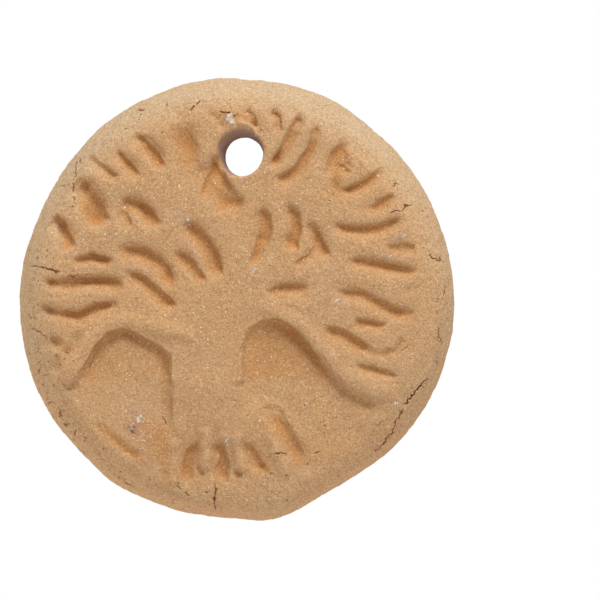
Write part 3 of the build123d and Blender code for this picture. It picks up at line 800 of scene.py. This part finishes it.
def store_surface(mesh, crack_depth):
    """Stores what the clay's material needs to know about each point."""
    points = points_of(mesh)
    edges = edges_of(mesh)
    normals = normals_of(mesh)
    places = face_places(points)
    from_middle = np.hypot(*places.T)
    from_hole = np.hypot(*(places - HOLE_PLACE).T)
    front = (points[:, 1] < FRONT_LEVEL).astype(float)

    level = points[:, 1:2]
    broad = smooth_part(level, edges, front, fitted(BROAD_BLUR))
    hollow = smooth_part(level - broad, edges, front, HOLLOW_BLUR)[:, 0]
    # painted shade: how far the clay lies behind the face, which the material paints darker and
    # warmer, partly a warmer clay tone
    pressed = (points[:, 1] - FACE_LEVEL) * front * ramp(from_middle, *PRESSED_ZONE)
    pressed *= ramp(places[:, 1], TOE_TOP, TOE_TOP + 1)
    for outline in GROUNDS:
        pressed[inside_outline(places, outline)] *= 0.5
    wall = ramp(np.abs(normals[:, 1]), 0.5, 0.35) * (from_hole < HOLE_TINT_REACH)

    # Every number goes from 0 to 1, except the hollow measure and the upward facing, which also
    # go down to -1.
    # painted shade and light from the relief: above 0 in hollows, which the material paints
    # darker and warmer (partly a warmer clay tone), below 0 on crests, which it paints paler
    store(mesh, "relief_shade", ramp(from_middle, *CAVITY_ZONE) * np.clip(hollow / 0.2, -1, 1))
    store(mesh, "pressed", ramp(pressed, 0, 0.6))
    store(mesh, "stain", marked(places, STAINS) * front)
    store(mesh, "smear", marked(places, SMEARS) * front)
    # painted shade in cracks and pores: the deeper a point sank, the darker the material paints
    # it
    store(mesh, "crack", ramp(crack_depth, 0, 0.17))
    store(mesh, "bore", wall)
    store(mesh, "rim", ramp(from_middle, *RIM_ZONE))
    # painted light and shade on the rim: above 0 where it faces up, painted paler and cooler;
    # below 0 where it faces down, painted warmer
    store(mesh, "painted_sky_light", ramp(from_middle, *PAINTED_SKY_LIGHT_ZONE) * normals[:, 2])


def sculpt_clay():
    """The whole pendant as one mesh of worn, pitted and cracked clay, in millimetres."""
    sculpt = joined_clay()
    add_voxels(sculpt)
    mesh = sculpt.data
    pores = all_face_pores()
    shape_relief(mesh)
    roughen(mesh)
    refine_near_cracks(mesh, pores)
    store_surface(mesh, cut_cracks(mesh, pores))
    mesh.polygons.foreach_set("use_smooth", [True] * len(mesh.polygons))
    return sculpt


# ---- materials ----
def add_node(tree, kind, inputs=(), **settings):
    """A new node with its settings, and inputs that are numbers or other nodes' outputs."""
    node = tree.nodes.new(kind)
    for name, value in settings.items():
        setattr(node, name, value)
    for name, value in dict(inputs).items():
        if isinstance(value, bpy.types.NodeSocket):
            tree.links.new(value, node.inputs[name])
        else:
            node.inputs[name].default_value = value
    return node


def mix_colour(tree, factor, first, second, blend="MIX"):
    inputs = {0: factor, 6: first, 7: second}
    node = add_node(tree, "ShaderNodeMix", inputs, data_type="RGBA", blend_type=blend)
    return node.outputs[2]


def spread(tree, value, low, high, top=1.0, bottom=0.0):
    """The value stretched so that low becomes the bottom and high the top, and clamped."""
    node = add_node(
        tree, "ShaderNodeMapRange",
        {"Value": value, "From Min": low, "From Max": high, "To Min": bottom, "To Max": top},
    )
    return node.outputs["Result"]


def maths(tree, operation, *inputs):
    node = add_node(tree, "ShaderNodeMath", enumerate(inputs), operation=operation)
    return node.outputs[0]


def scaled(tree, value, factor):
    return maths(tree, "MULTIPLY", value, factor)


def grain_noise(tree, place, bumps_per_mm, detail=2.0, roughness=0.6):
    node = add_node(
        tree, "ShaderNodeTexNoise",
        {"Vector": place, "Scale": bumps_per_mm, "Detail": detail, "Roughness": roughness},
    )
    return node.outputs["Fac"]


def specks(tree, place, per_mm, rarity, radius, shift):
    """A mask of small specks: a few cells of a cell pattern, near their middles."""
    moved = add_node(tree, "ShaderNodeVectorMath", {0: place, 1: shift}, operation="ADD")
    cells = add_node(tree, "ShaderNodeTexVoronoi", {"Vector": moved.outputs[0], "Scale": per_mm})
    parts = add_node(tree, "ShaderNodeSeparateColor", {"Color": cells.outputs["Color"]})
    chosen = spread(tree, parts.outputs["Red"], rarity, rarity + 0.01)
    size = scaled(tree, parts.outputs["Green"], radius * per_mm)
    return scaled(tree, chosen, maths(tree, "GREATER_THAN", size, cells.outputs["Distance"]))


def new_material(name):
    material = bpy.data.materials.new(name)
    material.use_nodes = True
    return material, material.node_tree, material.node_tree.nodes["Principled BSDF"]


def place_in_mm(tree):
    place = add_node(tree, "ShaderNodeTexCoord").outputs["Object"]
    inputs = {0: place, "Scale": 1 / MM}
    return add_node(tree, "ShaderNodeVectorMath", inputs, operation="SCALE").outputs[0]


def add_bump(tree, shader, height, distance):
    bump = add_node(tree, "ShaderNodeBump", {"Distance": distance, "Height": height})
    tree.links.new(bump.outputs["Normal"], shader.inputs["Normal"])


def clay_material():
    material, tree, shader = new_material("fired_clay")
    place = place_in_mm(tree)
    relief_shade, pressed, stain, smear, crack, bore, rim, painted_sky_light = (
        add_node(tree, "ShaderNodeAttribute", attribute_name=name).outputs["Fac"]
        for name in ("relief_shade", "pressed", "stain", "smear", "crack", "bore", "rim", "painted_sky_light")
    )

    clouds = grain_noise(tree, place, 0.16, 3.0)
    blotches = grain_noise(tree, place, 0.75, 3.0)
    mottle = grain_noise(tree, place, 2.8, 3.0, 0.8)
    grit = grain_noise(tree, place, 6.0, 2.0, 0.8)

    colour = mix_colour(
        tree, spread(tree, clouds, 0.38, 0.62), (0.555, 0.298, 0.124, 1), (0.55, 0.312, 0.145, 1)
    )
    # tones mixed in one after the other: (where, colour)
    tones = [
        (spread(tree, blotches, 0.42, 0.7, 0.7), (0.50, 0.270, 0.125, 1)),
        (spread(tree, mottle, 0.5, 0.68, 0.45), (0.65, 0.41, 0.20, 1)),
        (spread(tree, mottle, 0.48, 0.34, 0.62), (0.44, 0.225, 0.085, 1)),
        (spread(tree, grit, 0.54, 0.68, 0.66), (0.36, 0.19, 0.085, 1)),
        (spread(tree, grit, 0.47, 0.34, 0.60), (0.74, 0.52, 0.31, 1)),
    ]
    for where, tone in tones:
        colour = mix_colour(tree, where, colour, tone)
    # tints that the colour is multiplied by, one after the other: (where, tint)
    stained = maths(tree, "ADD", stain, scaled(tree, mottle, 1.2))
    smeared = maths(tree, "ADD", smear, scaled(tree, grit, 0.9))
    tints = [
        # painted shade deeper in the sunken relief: darker and warmer, partly a warmer clay tone
        (spread(tree, pressed, 0.15, 1.0), (0.97, 0.85, 0.68, 1)),
        # painted shade in the relief's hollows: darker and warmer, partly a warmer clay tone
        (spread(tree, relief_shade, 0.02, 0.8), (0.95, 0.84, 0.69, 1)),
        # painted light on the relief's crests: paler and cooler
        (spread(tree, relief_shade, -0.05, -0.5), (1.03, 1.04, 1.06, 1)),
        (spread(tree, stained, 0.65, 1.5, 0.9), (0.97, 0.83, 0.63, 1)),
        (spread(tree, smeared, 0.75, 1.3, 0.9), (0.96, 1.0, 1.22, 1)),
        (rim, (1.0, 1.08, 1.18, 1)),
        # painted highlight: paler and cooler where the rim faces the light above
        (spread(tree, painted_sky_light, -0.1, 0.8), (0.98, 1.10, 1.26, 1)),
        # painted shade: warmer where the rim faces down
        (spread(tree, painted_sky_light, -0.2, -0.9), (1.10, 1.0, 0.93, 1)),
    ]
    for where, tint in tints:
        colour = mix_colour(tree, where, colour, tint, "MULTIPLY")
    # sand in the clay: (cells per mm, rarity, radius in mm, strength, colour)
    sand = [
        (1.0, 0.80, 0.16, 0.45, (0.44, 0.19, 0.06, 1)),
        (2.6, 0.45, 0.10, 0.60, (0.34, 0.17, 0.07, 1)),
        (2.1, 0.60, 0.11, 0.60, (0.74, 0.52, 0.33, 1)),
        (3.3, 0.55, 0.08, 0.70, (0.30, 0.14, 0.05, 1)),
        (3.1, 0.72, 0.07, 0.80, (0.86, 0.70, 0.50, 1)),
        (1.9, 0.86, 0.07, 0.85, (0.12, 0.06, 0.035, 1)),
        (1.3, 0.87, 0.09, 0.80, (0.88, 0.79, 0.66, 1)),
    ]
    for index, (per_mm, rarity, radius, strength, tone) in enumerate(sand):
        mask = specks(tree, place, per_mm, rarity, radius, (3.1 + 2.7 * index, 7.7, 1.9 * index))
        colour = mix_colour(tree, scaled(tree, mask, strength), colour, tone)
    # painted shade: dark brown in cracks and pores
    colour = mix_colour(tree, spread(tree, crack, 0.15, 0.8, 0.9), colour, (0.32, 0.14, 0.055, 1))
    colour = mix_colour(tree, scaled(tree, bore, 0.85), colour, (0.42, 0.27, 0.22, 1))
    tree.links.new(colour, shader.inputs["Base Color"])

    roughness = spread(tree, mottle, 0.3, 0.7, top=0.9, bottom=0.72)
    tree.links.new(roughness, shader.inputs["Roughness"])
    shader.inputs["Specular IOR Level"].default_value = 0.3

    height = maths(tree, "ADD", scaled(tree, mottle, 0.6), scaled(tree, grit, 0.5))
    coarse = scaled(tree, grain_noise(tree, place, 3.6, 2.0, 0.7), rim)
    height = maths(tree, "ADD", height, scaled(tree, coarse, 0.5))
    add_bump(tree, shader, height, 0.0002)
    return material


def mineral_material(name, light, shade, dust):
    """Crystals with a cloudy colour, a little clay dust, and some shine."""
    material, tree, shader = new_material(name)
    place = place_in_mm(tree)
    clouds = grain_noise(tree, place, 3.5, 3.0)
    colour = mix_colour(tree, spread(tree, clouds, 0.4, 0.6), shade, light)
    dusty = spread(tree, grain_noise(tree, place, 6.0), 0.5, 0.7, 0.7)
    colour = mix_colour(tree, dusty, colour, dust)
    tree.links.new(colour, shader.inputs["Base Color"])
    shader.inputs["Roughness"].default_value = 0.38
    add_bump(tree, shader, grain_noise(tree, place, 8.0), 0.00004)
    return material


# ---- mineral grains: (across, up, radius, how many crystals) ----
PALE_GRAINS = [
    (9.0, -0.2, 0.26, 5), (1.5, 2.6, 0.24, 4), (-0.7, 16.2, 0.46, 10), (1.1, 15.6, 0.13, 3),
    (1.65, 14.8, 0.18, 3), (-4.6, 7.1, 0.3, 5),
    (-3.0, -0.8, 0.18, 3), (-1.05, -13.0, 0.26, 5), (-8.65, -12.85, 0.16, 3),
    (-13.0, -9.45, 0.12, 2), (-12.05, 5.8, 0.10, 1), (-15.75, -1.5, 0.13, 2),
    (3.4, 17.1, 0.16, 3), (6.35, 13.6, 0.12, 2), (-4.1, 11.7, 0.11, 1), (-7.25, 16.8, 0.12, 2),
    (17.3, -8.5, 0.13, 2), (15.0, 5.7, 0.22, 4), (13.8, 3.8, 0.2, 3), (14.5, -9.6, 0.3, 6),
    (8.4, 2.7, 0.14, 2), (-9.0, -11.0, 0.42, 8), (-1.45, 2.1, 0.08, 1), (7.5, 8.2, 0.08, 1),
    (-5.7, -1.9, 0.09, 1), (-3.95, 19.0, 0.1, 1), (10.3, -11.6, 0.08, 1), (-6.0, -8.2, 0.1, 1),
]
DARK_GRAINS = [(-9.7, -12.0, 0.38, 7), (-11.6, -9.1, 0.12, 2), (-11.4, -14.9, 0.1, 2)]
CRYSTAL_SHARES = (0.28, 0.52)  # a crystal's radius as a share of its grain's
CRYSTAL_SCATTER = 0.5
CRYSTAL_FACETS = (0.7, 1.15)
CRYSTAL_FLATNESS = 0.5


def crystals(name, groups, clay_points, seed):
    """Small faceted crystals, sunk to half their height in the clay's surface."""
    rng = np.random.default_rng(seed)
    front = clay_points[clay_points[:, 1] < FRONT_LEVEL]
    places = face_places(front)
    shape = bmesh.new()
    for across, up, reach, count in groups:
        for turn in range(count):
            size = reach if count == 1 else reach * rng.uniform(*CRYSTAL_SHARES)
            offset = np.zeros(2) if turn == 0 else rng.normal(0, CRYSTAL_SCATTER * reach, 2)
            spot = np.array([across, up]) + offset
            level = front[np.argmin(np.hypot(*(places - spot).T)), 1]
            made = bmesh.ops.create_icosphere(shape, subdivisions=1, radius=size)
            for vert in made["verts"]:
                vert.co *= rng.uniform(*CRYSTAL_FACETS)
                vert.co.y *= CRYSTAL_FLATNESS
                vert.co += Vector((DISC_CENTRE[0] + spot[0], level, DISC_CENTRE[2] + spot[1]))
    mesh = bpy.data.meshes.new(name)
    shape.to_mesh(mesh)
    shape.free()
    return new_object(name, mesh)


# ---- cutting the clay into one piece for each CAD node ----
SEAM_MARGIN = 0.04  # the cut is this far outside the CAD seam
BLOCK_FRONT = -5.0  # a level well in front of the face


def bed_outline(node):
    """The outer edge of a tree piece's flat back, in order round it, in millimetres."""
    mesh = frame["nodes"][node].data
    points = points_of(mesh) / MM
    bed = points[:, 1].max()
    flat = np.abs(points[:, 1] - bed) < 0.01
    keys = [tuple(key) for key in np.round(points[:, (0, 2)], 3)]
    uses = {}
    for polygon in mesh.polygons:
        corners = list(polygon.vertices)
        if not all(flat[corner] for corner in corners):
            continue
        for first, second in zip(corners, corners[1:] + corners[:1]):
            pair = (keys[first], keys[second])
            uses[frozenset(pair)] = uses.get(frozenset(pair), []) + [pair]
    following = dict(pairs[0] for pairs in uses.values() if len(pairs) == 1)
    loops = []
    while following:
        start, here = following.popitem()
        loop = [start]
        while here != start:
            loop.append(here)
            here = following.pop(here)
        loops.append(np.array(loop))
    return max(loops, key=lambda loop: np.ptp(loop, axis=0).sum()), bed


def widened(loop, amount):
    """The closed line moved outwards by the amount."""
    ahead = np.roll(loop, -1, axis=0) - np.roll(loop, 1, axis=0)
    ahead /= np.hypot(*ahead.T)[:, None]
    area = np.sum(loop[:, 0] * np.roll(loop[:, 1], -1) - np.roll(loop[:, 0], -1) * loop[:, 1])
    outward = np.column_stack([ahead[:, 1], -ahead[:, 0]]) * np.sign(area)
    return loop + amount * outward


def prism(node):
    """A closed block that holds everything in front of the node's bed and inside its outline."""
    loop, bed = bed_outline(node)
    loop = widened(loop, SEAM_MARGIN)
    count = len(loop)
    verts = [(x, y, z) for y in (bed, BLOCK_FRONT) for x, z in loop]
    faces = [list(range(count)), list(range(2 * count - 1, count - 1, -1))]
    for index in range(count):
        after = (index + 1) % count
        faces.append([index, index + count, after + count, after])
    mesh = bpy.data.meshes.new("prism")
    mesh.from_pydata(verts, [], faces)
    shape = bmesh.new()
    shape.from_mesh(mesh)
    bmesh.ops.triangulate(shape, faces=shape.faces)
    bmesh.ops.recalc_face_normals(shape, faces=shape.faces)
    shape.to_mesh(mesh)
    shape.free()
    return new_object("prism", mesh)


def cut(obj, cutter, operation):
    modifier = obj.modifiers.new("cut", "BOOLEAN")
    modifier.operation = operation
    modifier.solver = "MANIFOLD"
    modifier.object = cutter
    apply_modifiers(obj)


def copy_surface(piece, whole):
    """Gives a cut piece the whole sculpt's shading normals, so that no seam shows."""
    transfer = piece.modifiers.new("surface", "DATA_TRANSFER")
    transfer.object = whole
    transfer.use_loop_data = True
    transfer.data_types_loops = {"CUSTOM_NORMAL"}
    transfer.loop_mapping = "NEAREST_POLYNOR"
    apply_modifiers(piece)


def split_clay(sculpt):
    """One closed piece for each CAD node: the tree's pieces are cut out of the whole clay."""
    blocks = {node: prism(node) for node in TREE_NODES}
    tree_block = new_object("tree_block", blocks[TREE_NODES[0]].data.copy())
    for node in TREE_NODES[1:]:
        cut(tree_block, blocks[node], "UNION")
    disc = new_object("clay_disc", sculpt.data.copy())
    cut(disc, tree_block, "DIFFERENCE")
    tree_clay = new_object("tree_clay", sculpt.data.copy())
    cut(tree_clay, tree_block, "INTERSECT")
    pieces = {"clay_disc": disc}
    for node, block in blocks.items():
        pieces[node] = new_object(node, tree_clay.data.copy())
        cut(pieces[node], block, "INTERSECT")
        cut(tree_clay, block, "DIFFERENCE")
        bpy.data.objects.remove(block)
    bpy.data.objects.remove(tree_block)
    bpy.data.objects.remove(tree_clay)
    return pieces


def finish_piece(piece, node, slot, material):
    piece.name = node + ("_clay" if slot == "fired_clay" else "_stone")
    set_points(piece.data, points_of(piece.data) * MM)
    piece.data.materials.clear()
    piece.data.materials.append(material)
    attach(piece, "root")
    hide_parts(node)


# ---- stage ----
FLOOR_RADIUS = 1.4  # in metres
FLOOR_PLACE = (0, 0, -0.21)


def make_stage():
    bpy.context.scene.view_settings.view_transform = "Standard"
    world = bpy.data.worlds.new("studio")
    bpy.context.scene.world = world
    world.use_nodes = True
    tree = world.node_tree
    soft_light = tree.nodes["Background"]
    soft_light.inputs["Color"].default_value = (1, 1, 1, 1)
    soft_light.inputs["Strength"].default_value = 0.60
    seen = add_node(tree, "ShaderNodeBackground", {"Color": (1, 1, 1, 1), "Strength": 1.0})
    path = add_node(tree, "ShaderNodeLightPath")
    mix = add_node(tree, "ShaderNodeMixShader", {"Fac": path.outputs["Is Camera Ray"]})
    tree.links.new(soft_light.outputs["Background"], mix.inputs[1])
    tree.links.new(seen.outputs["Background"], mix.inputs[2])
    tree.links.new(mix.outputs["Shader"], tree.nodes["World Output"].inputs["Surface"])

    bpy.ops.mesh.primitive_circle_add(
        vertices=96, radius=FLOOR_RADIUS, fill_type="NGON", location=FLOOR_PLACE
    )
    floor = bpy.context.object
    floor.name = "floor"
    pale, _, shader = new_material("pale_floor")
    shader.inputs["Base Color"].default_value = (0.92, 0.92, 0.92, 1)
    shader.inputs["Roughness"].default_value = 0.9
    floor.data.materials.append(pale)


def softbox(name, place, size, watts):
    data = bpy.data.lights.new(name, "AREA")
    data.shape = "SQUARE"
    data.size = size
    data.energy = watts
    lamp = new_object(name, data)
    lamp.location = place
    aim = Vector(DISC_CENTRE * MM) - lamp.location
    lamp.rotation_euler = aim.to_track_quat("-Z", "Y").to_euler()


make_camera()

sculpt = sculpt_clay()
clay_points = points_of(sculpt.data)
clay = clay_material()
for node, piece in split_clay(sculpt).items():
    copy_surface(piece, sculpt)
    finish_piece(piece, node, "fired_clay", clay)
bpy.data.objects.remove(sculpt)

pale = mineral_material(
    "pale_mineral", (0.74, 0.63, 0.51, 1), (0.52, 0.43, 0.36, 1), (0.60, 0.40, 0.24, 1)
)
dark = mineral_material(
    "dark_mineral", (0.24, 0.185, 0.17, 1), (0.12, 0.092, 0.088, 1), (0.40, 0.27, 0.17, 1)
)
for node, groups, slot, mineral, seed in (
    ("pale_grains", PALE_GRAINS, "pale_mineral", pale, 21),
    ("dark_grains", DARK_GRAINS, "dark_mineral", dark, 22),
):
    finish_piece(crystals(node, groups, clay_points, seed), node, slot, mineral)

make_stage()
softbox("key", (0.075, -0.20, 0.35), 0.2, 1.6)
softbox("left_fill", (-0.35, 0.05, -0.03), 0.25, 0.34)
softbox("right_fill", (0.35, 0.05, -0.03), 0.25, 0.12)
